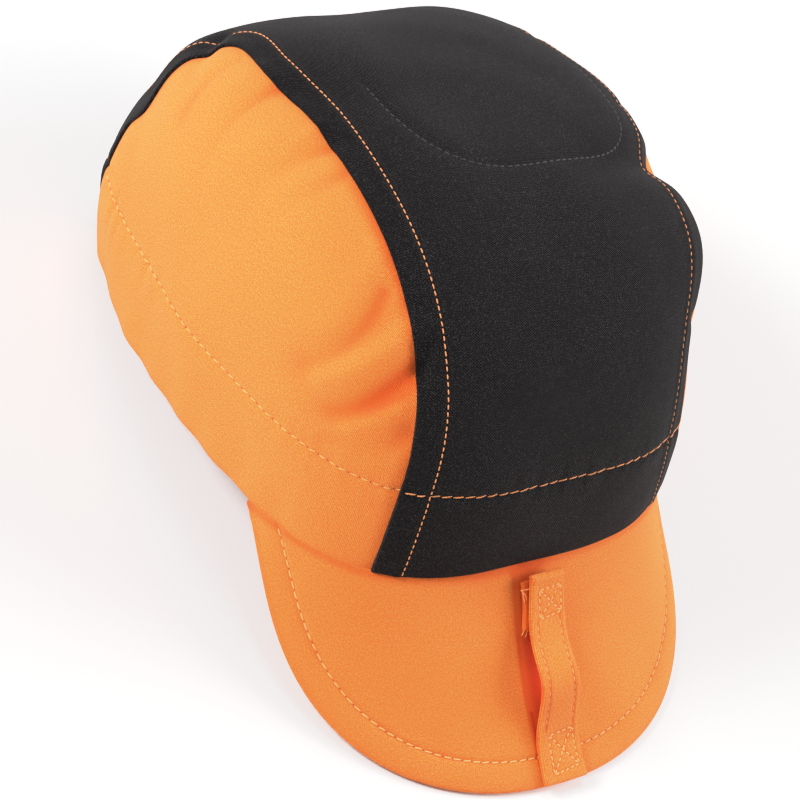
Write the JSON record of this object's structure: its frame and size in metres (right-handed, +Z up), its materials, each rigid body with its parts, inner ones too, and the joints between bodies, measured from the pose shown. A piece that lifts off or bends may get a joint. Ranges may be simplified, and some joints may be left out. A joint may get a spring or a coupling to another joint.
{
  "type": "welding cap",
  "caption": "Soft welding cap of three cloth panels with a stiff drooping brim and a pencil loop sewn on the brim.",
  "frame": {"origin": "on the floor under the middle of the cap's box, as it rests on the back of its rim and its brim's edge", "axes": "+Z up, -Y towards the brim, +X towards the wearer's left"},
  "size_m": [0.171, 0.2592, 0.127],
  "materials": {
    "black_twill": "soft matt cotton twill",
    "orange_twill": "soft matt cotton twill"
  },
  "bodies": {
    "root": {"centre_panel": "black_twill", "side_panel_right": "orange_twill", "side_panel_left": "orange_twill", "brim": "orange_twill", "pencil_loop": "orange_twill"}
  },
  "joints": []
}
